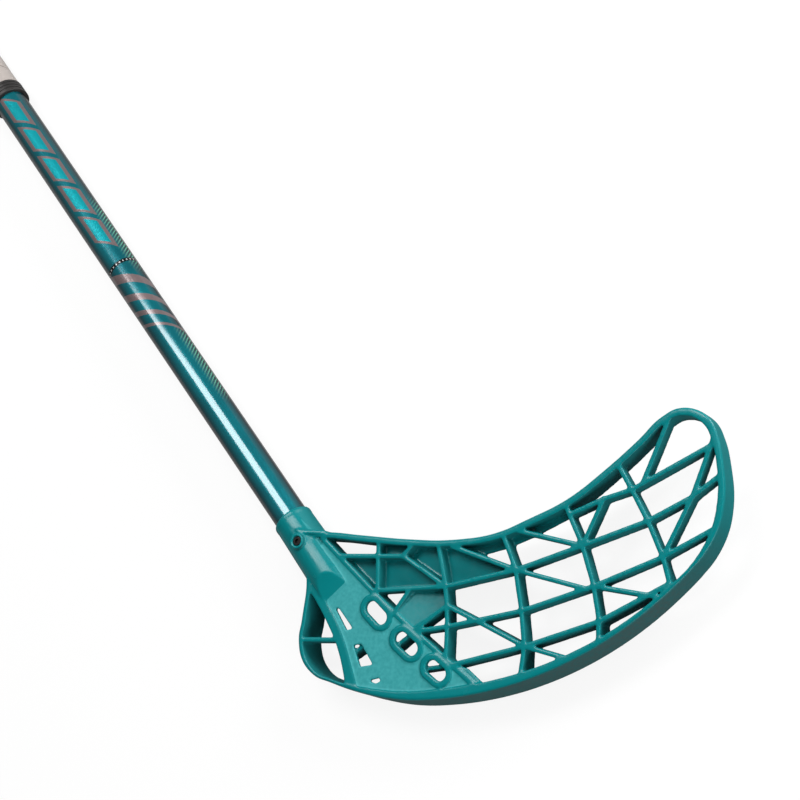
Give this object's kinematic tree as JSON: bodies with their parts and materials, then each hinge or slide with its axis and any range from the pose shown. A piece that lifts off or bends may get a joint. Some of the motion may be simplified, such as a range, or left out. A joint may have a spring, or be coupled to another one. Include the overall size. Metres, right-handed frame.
{
  "type": "floorball stick",
  "caption": "Floorball stick: slim tubular shaft with a wrapped grip and rubber end ring, and a hooked, openwork moulded blade on a socket held by small cross screws.",
  "frame": {"origin": "on the shaft's axis, half way along the grip", "axes": "+Y up the shaft from the blade to the butt, +X the way the blade reaches, +Z out of the blade's front face; the stick lies on its back"},
  "size_m": [0.2796, 1.083, 0.0375],
  "materials": {
    "shaft_lacquer": "metallic teal lacquer over a composite tube",
    "blade_plastic": "satin moulded plastic",
    "screw_steel": "blackened steel",
    "grip_tape": "soft foamed grip tape, wound",
    "black_rubber": "matt moulded rubber"
  },
  "bodies": {
    "stick": {"shaft_tube": "shaft_lacquer", "blade": "blade_plastic", "grip_wrap": "grip_tape", "grip_end_ring": "black_rubber", "butt_cap": "black_rubber"},
    "front_screw": {"blade_screw_front": "screw_steel"},
    "back_screw": {"blade_screw_back": "screw_steel"}
  },
  "joints": [
    {"name": "front_screw_turn", "type": "hinge", "parent": "stick", "child": "front_screw", "pos_m": [0, -0.672, 0.0124], "axis": [0, 0, 1], "continuous": true},
    {"name": "back_screw_turn", "type": "hinge", "parent": "stick", "child": "back_screw", "pos_m": [0, -0.672, -0.0124], "axis": [0, 0, -1], "continuous": true}
  ]
}
